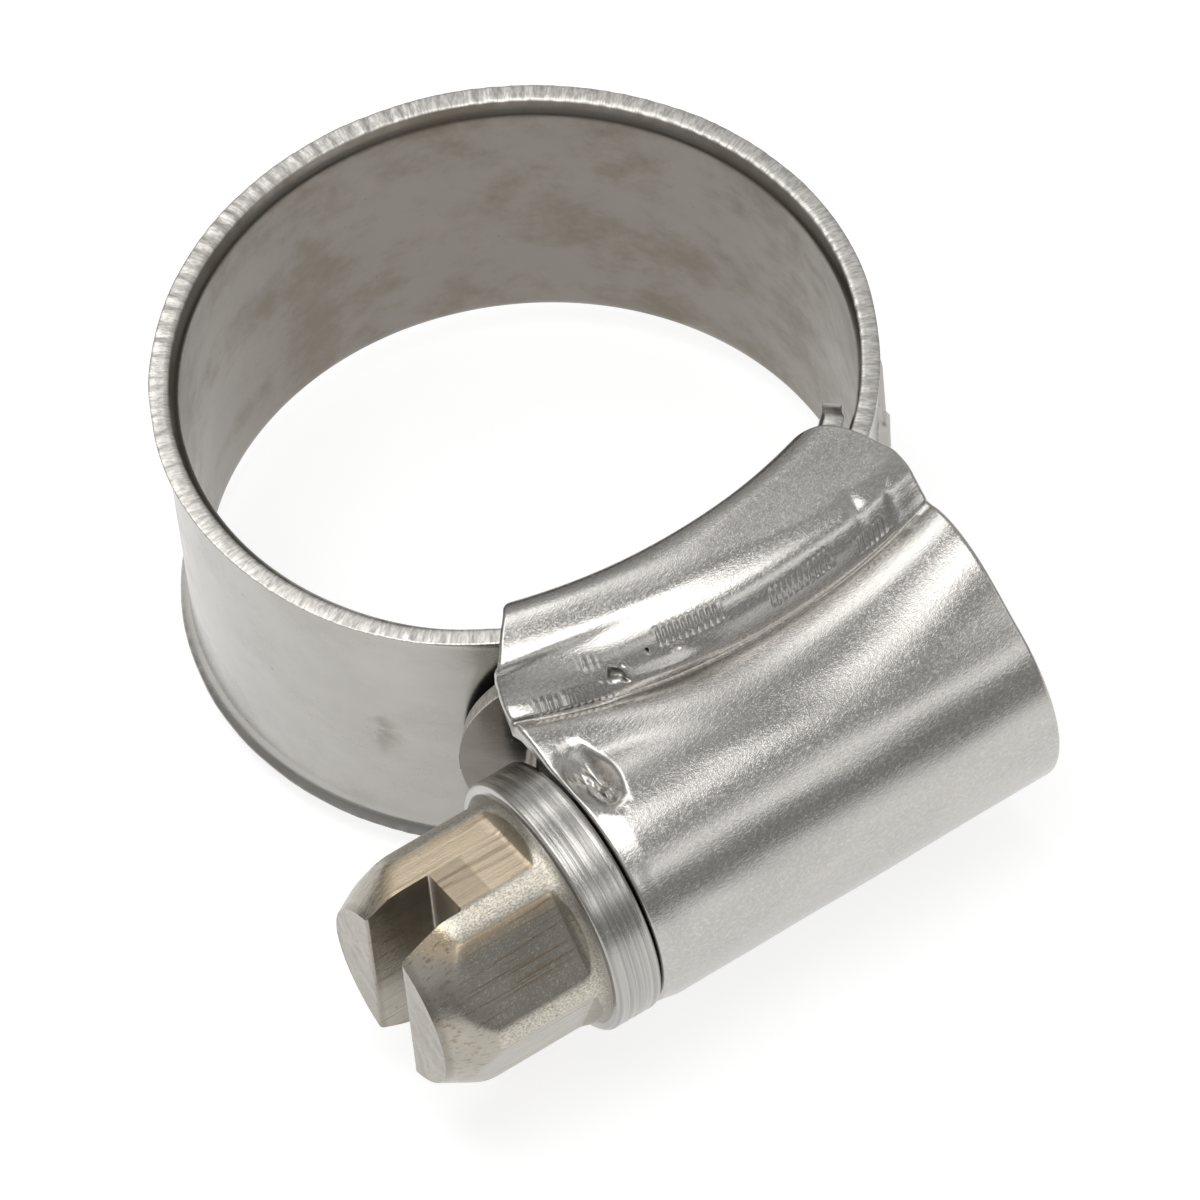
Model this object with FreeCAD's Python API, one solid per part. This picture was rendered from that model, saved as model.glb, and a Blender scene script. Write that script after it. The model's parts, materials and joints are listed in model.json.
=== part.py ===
import FreeCAD, Part
import math
import os

# Worm-drive hose clamp, all sizes in millimetres.
# The ring's axis is Z and the middle of the band is at z = 0.
# The screw lies along X on the -Y side, with its driving head at -X.
# The clamp is drawn nearly fully open.

# --- driving dimensions ---------------------------------------------------

# Band: one strip whose two edges flare outwards.
STRIP = 0.6             # thickness of the strip
HALF_WIDTH = 5.2        # from mid width to the outer edge
FLAT_HALF_WIDTH = 4.3   # the strip is straight out to here, then it flares
FLARE = 0.37            # how far each edge stands outwards

# Outer layer: the threaded end, an arc that slides round its own centre.
TAIL_CENTRE = FreeCAD.Vector(-0.3, 0.0, 0.0)
TAIL_RADIUS = 11.15     # to the middle of the strip
TAIL_TIP_ANGLE = -133.0
TAIL_REAR_ANGLE = 16.0

# Inner layer: it runs through the housing under the outer layer.
LAYER_STEP = 1.0        # from the middle of one layer to the middle of the other
TONGUE_END_ANGLE = -42.0
TONGUE_START_ANGLE = -97.5
LOOP_END_ANGLE = -100.0
HOUSING_EXIT_ANGLE = -122.0
EXIT_BEND = 2.0         # outward bend where the band leaves the housing

# Loop: two tangent arcs cut into short links, each hinged to the next.
FIRST_HINGE_ANGLE = -131.0
ARC_MEETING_ANGLE = 150.0
LEFT_LINKS = 6
RIGHT_LINKS = 7

# Thread that the worm and the band share.
DEGREES_PER_TURN = 12.0
PITCH_RADIUS = 11.6
PITCH = PITCH_RADIUS * math.radians(DEGREES_PER_TURN)
RIDGE_HEIGHT = 0.38
RIDGE_FOOT = 1.0
RIDGE_TOP = 0.65
RIDGE_HALF_LENGTH = 2.4
FIRST_RIDGE_ANGLE = -120.0
LAST_RIDGE_ANGLE = -12.0
EMBED = 0.1             # how far an added shape is sunk into what carries it
SPARE_ANGLE = 5.0       # how far a shape runs past the edge that it is cut to
ROUNDING_REACH = 2.0    # half the height of the cylinder that rounds the tail's tip

# Screw.
SCREW_Y = -14.43
WORM_ROOT = 2.5
WORM_CREST = 2.9
WORM_START = -5.8
WORM_END = 6.2
THREAD_TURNS = 3
THREAD_FOOT = 1.0
THREAD_TOP = 0.6
NECK_RADIUS = 2.35
COLLAR_RADIUS = 4.3
COLLAR_START = -9.15
COLLAR_END = -7.55
HEX_ACROSS_FLATS = 7.0
HEX_TURNED_RADIUS = 3.86
HEX_FLAT_ANGLE = 80.0   # direction of one flat, from +Y towards +Z
HEAD_END = -14.6
HEAD_CHAMFER = 0.7
SLOT_WIDTH = 1.9
SLOT_DEPTH = 2.3

# Housing: a barrel round the worm, and a saddle that folds round both layers.
BARREL_OUTER = 4.36
BARREL_INNER = 3.66
BARREL_HALF_LENGTH = 7.3
SADDLE_CENTRE = FreeCAD.Vector(0.0, 8.6, 0.0)
TAB_INNER = 17.03
SHEET = 0.55
TAB_START = 1.4         # gap from mid width to each folded tab
FOLD_INNER_HALF = 5.45
FOLD_OUTER_HALF = 6.05
FOLD_INNER_BEND = 0.6
FOLD_OUTER_BEND = 1.0
FLANGE_INNER = 20.75
FLANGE_OUTER = 21.35
FLANGE_START = 1.0
SADDLE_HALF_ANGLE = 19.5
TAB_HALF_ANGLE = 14.5
DIMPLE_X = -6.65
DIMPLE_RADIUS = 0.6
DIMPLE_REACH = 2.75     # distance of its tip from the screw's axis
STAKE_X = 2.4
STAKE_Z = 3.2
STAKE_RADIUS = 0.55

Z_TO_X_TURN = 120.0     # about (1, 1, 1): Z goes to X, X to Y and Y to Z
X_AXIS = FreeCAD.Vector(1, 0, 0)
Y_AXIS = FreeCAD.Vector(0, 1, 0)
Z_AXIS = FreeCAD.Vector(0, 0, 1)


# --- helpers --------------------------------------------------------------

def polar(centre, radius, degrees):
    """Point at an angle and a distance from a centre, in the plane across the ring's axis."""
    a = math.radians(degrees)
    return centre + FreeCAD.Vector(radius * math.cos(a), radius * math.sin(a), 0)


def face_of(points):
    """Flat face with straight sides through the points."""
    return Part.Face(Part.makePolygon(points + [points[0]]))


def revolved(section, centre, start, end):
    """Solid swept by a (radius, z) outline, given as a face in the XZ plane, from start to end degrees."""
    turned = section.copy()
    turned.rotate(FreeCAD.Vector(), Z_AXIS, start)
    turned.translate(centre)
    return turned.revolve(centre, Z_AXIS, end - start)


def strip_section(inner_radius):
    """Section of the band: flat in the middle, both edges flared outwards."""
    outline = [
        (FLARE, -HALF_WIDTH), (0, -FLAT_HALF_WIDTH), (0, FLAT_HALF_WIDTH), (FLARE, HALF_WIDTH),
        (STRIP + FLARE, HALF_WIDTH), (STRIP, FLAT_HALF_WIDTH),
        (STRIP, -FLAT_HALF_WIDTH), (STRIP + FLARE, -HALF_WIDTH),
    ]
    return face_of([FreeCAD.Vector(inner_radius + r, 0, z) for r, z in outline])


def strip_arc(centre, middle_radius, start, end):
    """Stretch of band along an arc, from start to end degrees."""
    return revolved(strip_section(middle_radius - STRIP / 2), centre, start, end)


def loop_arcs():
    """Centres and radii of the loop's left and right arcs.

    The left arc starts where the band leaves the housing, the right arc ends at the
    threaded end's rear edge, and the two are tangent where they meet.
    """
    start = polar(TAIL_CENTRE, TAIL_RADIUS - LAYER_STEP, HOUSING_EXIT_ANGLE)
    finish = polar(TAIL_CENTRE, TAIL_RADIUS, TAIL_REAR_ANGLE)
    origin = FreeCAD.Vector()
    first = polar(origin, 1.0, HOUSING_EXIT_ANGLE + EXIT_BEND)
    meet = polar(origin, 1.0, ARC_MEETING_ANGLE)
    last = polar(origin, 1.0, TAIL_REAR_ANGLE)
    a = meet - first
    b = last - meet
    gap = finish - start
    area = a.x * b.y - a.y * b.x
    left_radius = (gap.x * b.y - gap.y * b.x) / area
    right_radius = (a.x * gap.y - a.y * gap.x) / area
    left_centre = start - first * left_radius
    right_centre = left_centre + meet * (left_radius - right_radius)
    return left_centre, left_radius, right_centre, right_radius


def link_spans():
    """(centre, middle radius, start, end) of every link after the first, in order round the loop."""
    left_centre, left_radius, right_centre, right_radius = loop_arcs()
    first_hinge = FIRST_HINGE_ANGLE + 360.0
    left_step = (first_hinge - ARC_MEETING_ANGLE) / LEFT_LINKS
    right_step = (ARC_MEETING_ANGLE - TAIL_REAR_ANGLE) / RIGHT_LINKS
    spans = []
    for i in range(LEFT_LINKS):
        start = first_hinge - i * left_step
        spans.append((left_centre, left_radius, start, start - left_step))
    for i in range(RIGHT_LINKS):
        start = ARC_MEETING_ANGLE - i * right_step
        spans.append((right_centre, right_radius, start, start - right_step))
    return spans


# --- band -----------------------------------------------------------------

def make_first_link():
    """Inner layer from inside the housing to the first hinge."""
    left_centre, left_radius = loop_arcs()[:2]
    inside = strip_arc(TAIL_CENTRE, TAIL_RADIUS - LAYER_STEP, HOUSING_EXIT_ANGLE, LOOP_END_ANGLE)
    outside = strip_arc(left_centre, left_radius, FIRST_HINGE_ANGLE, HOUSING_EXIT_ANGLE + EXIT_BEND)
    return inside.fuse(outside).removeSplitter()


def make_tongue():
    """Fixed inner end of the band, held in the housing."""
    return strip_arc(TAIL_CENTRE, TAIL_RADIUS - LAYER_STEP, TONGUE_START_ANGLE, TONGUE_END_ANGLE)


def make_ridge(angle):
    """One slanting thread ridge on the outside of the tail."""
    foot = TAIL_RADIUS + STRIP / 2 - EMBED
    top = TAIL_RADIUS + STRIP / 2 + RIDGE_HEIGHT
    slope = PITCH / (2 * math.pi * (WORM_ROOT + WORM_CREST) / 2)
    shift = slope * RIDGE_HALF_LENGTH
    section = face_of([
        FreeCAD.Vector(foot, -RIDGE_FOOT / 2 - shift, -RIDGE_HALF_LENGTH),
        FreeCAD.Vector(top, -RIDGE_TOP / 2 - shift, -RIDGE_HALF_LENGTH),
        FreeCAD.Vector(top, RIDGE_TOP / 2 - shift, -RIDGE_HALF_LENGTH),
        FreeCAD.Vector(foot, RIDGE_FOOT / 2 - shift, -RIDGE_HALF_LENGTH),
    ])
    ridge = section.extrude(FreeCAD.Vector(0, 2 * shift, 2 * RIDGE_HALF_LENGTH))
    ridge.rotate(FreeCAD.Vector(), Z_AXIS, angle)
    ridge.translate(TAIL_CENTRE)
    return ridge


def make_tail():
    """Threaded end: rounded tip, ridges on its outside, rear edge at the loop's last hinge."""
    round_angle = TAIL_TIP_ANGLE + math.degrees(HALF_WIDTH / TAIL_RADIUS)
    body = strip_arc(TAIL_CENTRE, TAIL_RADIUS, round_angle, TAIL_REAR_ANGLE)
    tip = strip_arc(TAIL_CENTRE, TAIL_RADIUS, TAIL_TIP_ANGLE - SPARE_ANGLE, round_angle)
    outward = polar(FreeCAD.Vector(), 1.0, round_angle)
    rounding = Part.makeCylinder(
        HALF_WIDTH, 2 * ROUNDING_REACH, TAIL_CENTRE + outward * (TAIL_RADIUS - ROUNDING_REACH), outward)
    tail = body.fuse(tip.common(rounding))
    count = int(round((LAST_RIDGE_ANGLE - FIRST_RIDGE_ANGLE) / DEGREES_PER_TURN)) + 1
    ridges = [make_ridge(FIRST_RIDGE_ANGLE + i * DEGREES_PER_TURN) for i in range(count)]
    return tail.fuse(ridges).removeSplitter()


# --- screw ----------------------------------------------------------------

def along_screw(radius, start, end):
    """Round bar on the screw's axis from start to end."""
    return Part.makeCylinder(radius, end - start, FreeCAD.Vector(start, SCREW_Y, 0), X_AXIS)


def make_thread():
    """Right-hand thread whose crest faces the band at x = 0."""
    length = THREAD_TURNS * PITCH
    helix = Part.makeHelix(PITCH, length, WORM_ROOT)
    foot = WORM_ROOT - EMBED
    section = Part.makePolygon([
        FreeCAD.Vector(foot, 0, -THREAD_FOOT / 2),
        FreeCAD.Vector(WORM_CREST, 0, -THREAD_TOP / 2),
        FreeCAD.Vector(WORM_CREST, 0, THREAD_TOP / 2),
        FreeCAD.Vector(foot, 0, THREAD_FOOT / 2),
        FreeCAD.Vector(foot, 0, -THREAD_FOOT / 2),
    ])
    thread = Part.Wire(helix).makePipeShell([section], True, True)
    thread.rotate(FreeCAD.Vector(), FreeCAD.Vector(1, 1, 1), Z_TO_X_TURN)
    thread.translate(FreeCAD.Vector(-PITCH, SCREW_Y, 0))
    return thread


def make_head():
    """Slotted hexagon head, turned down at its corners and chamfered at its end."""
    across_corners = HEX_ACROSS_FLATS / math.sqrt(3)
    corners = []
    for i in range(6):
        a = math.radians(HEX_FLAT_ANGLE + 30 + 60 * i)
        corners.append(FreeCAD.Vector(
            HEAD_END, SCREW_Y + across_corners * math.cos(a), across_corners * math.sin(a)))
    length = COLLAR_START + EMBED - HEAD_END
    head = face_of(corners).extrude(FreeCAD.Vector(length, 0, 0))
    head = head.common(along_screw(HEX_TURNED_RADIUS, HEAD_END, COLLAR_START + EMBED))
    tip = Part.makeCone(
        HEX_TURNED_RADIUS - HEAD_CHAMFER, HEX_TURNED_RADIUS + length - HEAD_CHAMFER, length,
        FreeCAD.Vector(HEAD_END, SCREW_Y, 0), X_AXIS)
    head = head.common(tip)
    slot = Part.makeBox(
        SLOT_DEPTH, SLOT_WIDTH, 2 * COLLAR_RADIUS,
        FreeCAD.Vector(HEAD_END, SCREW_Y - SLOT_WIDTH / 2, -COLLAR_RADIUS))
    return head.cut(slot)


def make_screw():
    """Worm, neck, collar and head in one piece."""
    collar = along_screw(COLLAR_RADIUS, COLLAR_START, COLLAR_END)
    neck = along_screw(NECK_RADIUS, COLLAR_END - EMBED, WORM_START + EMBED)
    root = along_screw(WORM_ROOT, WORM_START, WORM_END)
    return collar.fuse([make_head(), neck, root, make_thread()]).removeSplitter()


# --- housing --------------------------------------------------------------

def saddle_section(side):
    """Half section of the saddle at one edge of the band: tab, fold and flange, side is 1 or -1."""
    tab_outer = TAB_INNER + SHEET
    inner_bend = FOLD_INNER_BEND
    outer_bend = FOLD_OUTER_BEND
    corner = 1 - math.sqrt(0.5)

    def at(radius, z):
        return FreeCAD.Vector(radius, 0, side * z)

    outer = [
        at(TAB_INNER, FOLD_OUTER_HALF - outer_bend),
        at(TAB_INNER + outer_bend * corner, FOLD_OUTER_HALF - outer_bend * corner),
        at(TAB_INNER + outer_bend, FOLD_OUTER_HALF),
        at(FLANGE_OUTER - outer_bend, FOLD_OUTER_HALF),
        at(FLANGE_OUTER - outer_bend * corner, FOLD_OUTER_HALF - outer_bend * corner),
        at(FLANGE_OUTER, FOLD_OUTER_HALF - outer_bend),
    ]
    inner = [
        at(FLANGE_INNER, FOLD_INNER_HALF - inner_bend),
        at(FLANGE_INNER - inner_bend * corner, FOLD_INNER_HALF - inner_bend * corner),
        at(FLANGE_INNER - inner_bend, FOLD_INNER_HALF),
        at(tab_outer + inner_bend, FOLD_INNER_HALF),
        at(tab_outer + inner_bend * corner, FOLD_INNER_HALF - inner_bend * corner),
        at(tab_outer, FOLD_INNER_HALF - inner_bend),
    ]
    edges = [
        Part.LineSegment(at(TAB_INNER, TAB_START), outer[0]),
        Part.Arc(outer[0], outer[1], outer[2]),
        Part.LineSegment(outer[2], outer[3]),
        Part.Arc(outer[3], outer[4], outer[5]),
        Part.LineSegment(outer[5], at(FLANGE_OUTER, FLANGE_START)),
        Part.LineSegment(at(FLANGE_OUTER, FLANGE_START), at(FLANGE_INNER, FLANGE_START)),
        Part.LineSegment(at(FLANGE_INNER, FLANGE_START), inner[0]),
        Part.Arc(inner[0], inner[1], inner[2]),
        Part.LineSegment(inner[2], inner[3]),
        Part.Arc(inner[3], inner[4], inner[5]),
        Part.LineSegment(inner[5], at(tab_outer, TAB_START)),
        Part.LineSegment(at(tab_outer, TAB_START), at(TAB_INNER, TAB_START)),
    ]
    return Part.Face(Part.Wire([e.toShape() for e in edges]))


def make_housing():
    """One pressed sheet: barrel, flanges, folds and the tabs inside the ring."""
    start = -90 - SADDLE_HALF_ANGLE
    end = -90 + SADDLE_HALF_ANGLE
    saddles = [revolved(saddle_section(side), SADDLE_CENTRE, start, end) for side in (1, -1)]
    barrel = along_screw(BARREL_OUTER, -BARREL_HALF_LENGTH, BARREL_HALF_LENGTH)
    room = Part.makeCylinder(FLANGE_INNER, 4 * HALF_WIDTH, SADDLE_CENTRE - Z_AXIS * 2 * HALF_WIDTH)
    housing = barrel.cut(room).fuse(saddles)
    housing = housing.cut(along_screw(BARREL_INNER, -2 * BARREL_HALF_LENGTH, 2 * BARREL_HALF_LENGTH))
    inside = FOLD_INNER_HALF - FOLD_INNER_BEND
    relief = face_of([
        FreeCAD.Vector(TAB_INNER - 2 * SHEET, 0, -inside),
        FreeCAD.Vector(TAB_INNER + 2 * SHEET, 0, -inside),
        FreeCAD.Vector(TAB_INNER + 2 * SHEET, 0, inside),
        FreeCAD.Vector(TAB_INNER - 2 * SHEET, 0, inside),
    ])
    spans = [(start - SPARE_ANGLE, -90 - TAB_HALF_ANGLE), (-90 + TAB_HALF_ANGLE, end + SPARE_ANGLE)]
    for first, last in spans:
        housing = housing.cut(revolved(relief, SADDLE_CENTRE, first, last))
    dimple = Part.makeCylinder(
        DIMPLE_RADIUS, BARREL_INNER + SHEET / 2 - DIMPLE_REACH,
        FreeCAD.Vector(DIMPLE_X, SCREW_Y, DIMPLE_REACH), Z_AXIS)
    tongue_face = TAIL_RADIUS - LAYER_STEP - STRIP / 2
    stakes = []
    for z in (-STAKE_Z, STAKE_Z):
        tab_y = SADDLE_CENTRE.y - math.sqrt((TAB_INNER + SHEET / 2) ** 2 - STAKE_X ** 2)
        band_y = -math.sqrt((tongue_face + EMBED) ** 2 - (STAKE_X - TAIL_CENTRE.x) ** 2)
        stakes.append(Part.makeCylinder(
            STAKE_RADIUS, tab_y - band_y, FreeCAD.Vector(STAKE_X, tab_y, z), -Y_AXIS))
    return housing.fuse([dimple] + stakes).removeSplitter()


# --- output ---------------------------------------------------------------

def save(shape, name):
    """Write one sub-part as a STEP file."""
    solids = shape.Solids
    if len(solids) != 1:
        raise ValueError(f"{name} has {len(solids)} solids")
    solids[0].exportStep(f"parts/{name}.step")


def main():
    os.makedirs("parts", exist_ok=True)
    save(make_housing(), "housing")
    save(make_screw(), "worm_screw")
    save(make_tongue(), "band_tongue")
    save(make_tail(), "band_threaded_end")
    save(make_first_link(), "band_link_01")
    for number, (centre, radius, start, end) in enumerate(link_spans(), start=2):
        save(strip_arc(centre, radius, end, start), f"band_link_{number:02d}")


if __name__ == "__main__":
    main()
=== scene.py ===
"""Worm-drive hose clamp: the visible model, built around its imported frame.

The band, the housing and the screw are surfaces worked out from a few sizes and from the frame's joints.
Lengths inside the functions are millimetres; a mesh is written in metres.
"""

import json
import math

import bpy
import numpy as np
from bpy.props import FloatProperty, FloatVectorProperty, IntProperty, PointerProperty
from mathutils import Matrix, Vector


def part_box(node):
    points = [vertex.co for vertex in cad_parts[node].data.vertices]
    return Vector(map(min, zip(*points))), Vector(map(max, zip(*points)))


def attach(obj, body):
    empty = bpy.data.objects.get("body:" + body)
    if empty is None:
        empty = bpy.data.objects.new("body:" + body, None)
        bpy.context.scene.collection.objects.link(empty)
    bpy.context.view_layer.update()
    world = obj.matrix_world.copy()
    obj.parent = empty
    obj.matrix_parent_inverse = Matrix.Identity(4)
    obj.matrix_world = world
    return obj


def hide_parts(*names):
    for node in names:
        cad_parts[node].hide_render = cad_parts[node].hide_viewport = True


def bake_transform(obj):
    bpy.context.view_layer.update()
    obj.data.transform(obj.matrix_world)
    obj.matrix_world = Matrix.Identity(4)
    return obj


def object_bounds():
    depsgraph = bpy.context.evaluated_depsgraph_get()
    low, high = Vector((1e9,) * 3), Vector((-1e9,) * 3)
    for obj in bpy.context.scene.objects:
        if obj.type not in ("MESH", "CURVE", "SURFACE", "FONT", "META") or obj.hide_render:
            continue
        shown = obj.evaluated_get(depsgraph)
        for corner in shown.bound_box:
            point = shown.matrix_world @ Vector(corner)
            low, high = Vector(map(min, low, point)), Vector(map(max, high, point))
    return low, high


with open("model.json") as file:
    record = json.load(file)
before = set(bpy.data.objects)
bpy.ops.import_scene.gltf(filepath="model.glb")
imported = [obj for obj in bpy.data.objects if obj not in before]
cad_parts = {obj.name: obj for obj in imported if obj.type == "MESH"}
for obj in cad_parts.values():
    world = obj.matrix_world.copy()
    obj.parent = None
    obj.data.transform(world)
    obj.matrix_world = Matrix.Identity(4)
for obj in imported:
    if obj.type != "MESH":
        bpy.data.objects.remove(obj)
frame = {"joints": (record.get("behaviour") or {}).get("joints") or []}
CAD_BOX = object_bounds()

bl_info = {
    "name": "Worm-drive hose clamp",
    "version": (1, 0, 0),
    "blender": (4, 5, 0),
    "location": "View3D > Sidebar > Clamp",
    "description": "Builds the band, housing, screw and studio of a worm-drive hose clamp",
    "category": "Add Mesh",
}

MM = 0.001
JOINTS = {joint["name"]: joint for joint in frame["joints"]}
LINKS = sum(name.startswith("bend_") for name in JOINTS)


def place(joint):
    """Where a joint is, in millimetres."""
    return np.array(JOINTS[joint]["pos_m"], float) / MM


TAIL_CENTRE = place("band_pull")[:2]
SCREW_Y = place("screw_turn")[1]
HEAD_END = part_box("worm_screw")[0].x / MM
WORM_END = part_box("worm_screw")[1].x / MM
RING_RADIUS = 11.15       # middle of the outer layer
INNER_RADIUS = 10.15      # middle of the inner layer in the housing
FREE_END_ANGLE = -100.0   # inner layer's end in the saddle
EXIT_ANGLE = -122.0       # where the inner layer leaves the housing
EXIT_BEND = 2.0           # degrees taken up where the two layers' circles meet
TONGUE_ANGLES = (-97.5, -42.0)
TIP_ANGLE = -133.0
TURN_ANGLE = 12.0         # arc that the tail slides for each turn of the screw
RIDGE_ANGLES = np.arange(-TURN_ANGLE, -121.0, -TURN_ANGLE)
THREAD_RADIUS = 11.6
PITCH = THREAD_RADIUS * math.radians(TURN_ANGLE)
WORM_ROOT = 2.5
WORM_HEIGHT = 0.4
RIDGE_SLOPE = PITCH / (2 * math.pi * (WORM_ROOT + WORM_HEIGHT / 2))
COLLAR = (-9.15, -7.55)   # where the collar starts and ends along x
BARREL_RADIUS = 4.36
HOUSING_HALF = 7.3


# --- numbers ---------------------------------------------------------------

def smooth(value, low, high):
    """0 below low, 1 above high, and 3t^2 - 2t^3 between."""
    t = np.clip((value - low) / (high - low), 0, 1)
    return t * t * (3 - 2 * t)


def mix(a, b, t):
    """Straight line from a to b."""
    return a + (b - a) * t


def grain(a, b, seed, reach, count=24):
    """Smooth random waves over two coordinates: the mean of sines whose wavelengths are near reach."""
    rng = np.random.default_rng(seed)
    total = np.zeros(np.broadcast(a, b).shape)
    for _ in range(count):
        turn = rng.uniform(0, math.tau)
        pace = math.tau / (reach * rng.uniform(0.6, 1.8))
        total += np.sin(pace * (a * math.cos(turn) + b * math.sin(turn)) + rng.uniform(0, math.tau))
    return total * math.sqrt(2 / count)


def curve_through(points, t):
    """Curve through points[0], points[1]... at t = 0, 1...; each stretch is a cubic whose end slopes are
    half the difference of the neighbouring points."""
    points = np.asarray(points, float)
    before = np.concatenate([2 * points[:1] - points[1:2], points[:-1]])
    after = np.concatenate([points[1:], 2 * points[-1:] - points[-2:-1]])
    slopes = (after - before) / 2
    i = np.clip(np.floor(t).astype(int), 0, len(points) - 2)
    u = (t - i).reshape((-1,) + (1,) * (points.ndim - 1))
    a, b, da, db = points[i], points[i + 1], slopes[i], slopes[i + 1]
    return (a * (2 * u**3 - 3 * u**2 + 1) + da * (u**3 - 2 * u**2 + u)
            + b * (3 * u**2 - 2 * u**3) + db * (u**3 - u**2))


def steps(*stretches):
    """Row positions: (start, end, count) stretches joined without repeating a value."""
    parts = [np.linspace(a, b, n, endpoint=False) for a, b, n in stretches]
    return np.concatenate(parts + [[stretches[-1][1]]])


# --- meshes ----------------------------------------------------------------

def grid_faces(index, wrap=False):
    """Quads of a grid of vertex numbers; wrap joins the last column to the first."""
    if wrap:
        index = np.concatenate([index, index[:, :1]], axis=1)
    return np.stack([index[:-1, :-1], index[1:, :-1], index[1:, 1:], index[:-1, 1:]], axis=-1).reshape(-1, 4)


def signed_volume(points, faces):
    """Volume inside the faces, each cut into a fan of triangles; negative if they point inwards."""
    total = 0.0
    for group in faces:
        for i in range(1, group.shape[1] - 1):
            a, b, c = points[group[:, 0]], points[group[:, i]], points[group[:, i + 1]]
            total += np.einsum("ij,ij->i", a, np.cross(b, c)).sum() / 6
    return total


def is_closed(points, faces):
    """Whether every edge has exactly two faces."""
    edges = [np.stack([group, np.roll(group, -1, axis=1)], axis=-1).reshape(-1, 2) for group in faces]
    edges = np.concatenate(edges).astype(np.int64)
    keys = edges.min(1) * len(points) + edges.max(1)
    return (np.unique(keys, return_counts=True)[1] == 2).all()


def make_piece(name, points, faces, material, numbers=(), normals=None, sharp=None):
    """Mesh object from points in millimetres and groups of faces, turned so that they point outwards.

    numbers are (name, values) for each point, with one or three values. normals, one array per group of
    faces, hold a direction for each corner; without them, edges turning by more than sharp degrees are sharp.
    """
    points = np.asarray(points, float).reshape(-1, 3)
    if not (np.isfinite(points).all() and is_closed(points, faces)):
        raise RuntimeError(f"{name} isn't a closed surface")
    if signed_volume(points, faces) < 0:
        faces = [group[:, ::-1] for group in faces]
        if normals is not None:
            normals = [-group[:, ::-1] for group in normals]
    mesh = bpy.data.meshes.new(name)
    sizes = np.concatenate([np.full(len(group), group.shape[1]) for group in faces])
    corners = np.concatenate([group.ravel() for group in faces])
    mesh.vertices.add(len(points))
    mesh.vertices.foreach_set("co", (points * MM).ravel())
    mesh.loops.add(len(corners))
    mesh.loops.foreach_set("vertex_index", corners.astype(np.int32))
    mesh.polygons.add(len(sizes))
    mesh.polygons.foreach_set("loop_start", np.concatenate([[0], np.cumsum(sizes)[:-1]]).astype(np.int32))
    mesh.update(calc_edges=True)
    mesh.polygons.foreach_set("use_smooth", np.ones(len(sizes), bool))
    for label, values in numbers:
        values = np.asarray(values, np.float32)
        kind, key = ("FLOAT", "value") if values.size == len(points) else ("FLOAT_VECTOR", "vector")
        mesh.attributes.new(label, kind, "POINT").data.foreach_set(key, values.ravel())
    if normals is not None:
        mesh.normals_split_custom_set(np.concatenate([group.reshape(-1, 3) for group in normals]))
    elif sharp is not None:
        mesh.set_sharp_from_angle(angle=math.radians(sharp))
    mesh.materials.append(material)
    piece = bpy.data.objects.new(name, mesh)
    bpy.context.scene.collection.objects.link(piece)
    return piece


# --- shader maths ----------------------------------------------------------

class Signal:
    """A number in a shader. Arithmetic on it adds Math nodes."""

    def __init__(self, shader, socket):
        self.shader = shader
        self.socket = socket

    def maths(self, operation, a, b):
        return self.shader.add("ShaderNodeMath", {"operation": operation}, {0: a, 1: b})

    def __add__(self, other):
        return self.maths("ADD", self, other)

    def __sub__(self, other):
        return self.maths("SUBTRACT", self, other)

    def __rsub__(self, other):
        return self.maths("SUBTRACT", other, self)

    def __mul__(self, other):
        return self.maths("MULTIPLY", self, other)

    def __abs__(self):
        return self.maths("ABSOLUTE", self, 0.0)

    __radd__ = __add__
    __rmul__ = __mul__

    def rise(self, low, high):
        """0 below low, 1 above high, smooth between; falls instead if low is above high."""
        return self.shader.add("ShaderNodeMapRange", {"interpolation_type": "SMOOTHSTEP"},
                               {"Value": self, "From Min": low, "From Max": high})


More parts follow.
